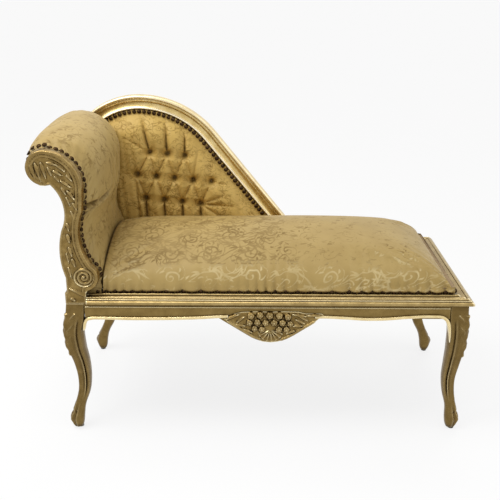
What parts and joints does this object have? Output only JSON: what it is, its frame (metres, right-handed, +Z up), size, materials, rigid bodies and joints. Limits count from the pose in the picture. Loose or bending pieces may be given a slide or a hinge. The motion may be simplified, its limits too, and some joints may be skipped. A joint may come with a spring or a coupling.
{
  "type": "chaise longue",
  "caption": "Small gilded chaise longue with cabriole legs, scrolled padded arm, deep-buttoned back under a sweeping carved crest and a crowned damask seat.",
  "frame": {"origin": "on the floor under the middle of the bounding box", "axes": "+X from the arm (head end) to the foot end, +Y from the open front to the back, +Z up"},
  "size_m": [0.9649, 0.4342, 0.701],
  "materials": {
    "gilt_wood": "burnished gold leaf over carved wood, worn to brown in the hollows",
    "raw_wood": "plain sanded beech",
    "steel": "bright zinc",
    "glide": "dark nylon",
    "damask": "champagne gold satin damask",
    "foam": "upholstery foam and wadding",
    "webbing": "jute webbing, hessian and twine",
    "dust_cloth": "black dust cloth",
    "nail_bronze": "dark antique bronze domes"
  },
  "bodies": {
    "root": {"seat_rail_front": "gilt_wood", "seat_rail_rear": "gilt_wood", "seat_rail_foot": "gilt_wood", "seat_rail_head": "gilt_wood", "apron_front": "gilt_wood", "apron_rear": "gilt_wood", "apron_foot": "gilt_wood", "apron_head": "gilt_wood", "front_left_leg": "gilt_wood", "front_right_leg": "gilt_wood", "rear_left_leg": "gilt_wood", "rear_right_leg": "gilt_wood", "apron_cartouche": "gilt_wood", "arm_post_front": "gilt_wood", "arm_post_rear": "gilt_wood", "crest_rail": "gilt_wood", "back_bottom_rail": "gilt_wood", "leg_dowels": "raw_wood", "post_dowels": "raw_wood", "crest_dowel": "raw_wood", "corner_blocks": "raw_wood", "arm_roll_core": "raw_wood", "arm_tack_rail": "raw_wood", "back_board": "raw_wood", "corner_block_screws": "steel", "foot_glides": "glide", "arm_cover": "damask", "seat_cover": "damask", "back_pad": "damask", "back_buttons": "damask", "arm_outer_cover": "damask", "back_outer_cover": "damask", "arm_foam": "foam", "seat_foam": "foam", "arm_webbing": "webbing", "seat_webbing_long": "webbing", "seat_webbing_cross": "webbing", "seat_hessian": "webbing", "button_ties": "webbing", "seat_dust_cover": "dust_cloth", "seat_nails_front": "nail_bronze", "seat_nails_foot": "nail_bronze", "seat_nails_rear": "nail_bronze", "arm_nails_front": "nail_bronze", "arm_nails_rear": "nail_bronze", "crest_nails_front": "nail_bronze", "back_nails_rear": "nail_bronze"}
  },
  "joints": []
}
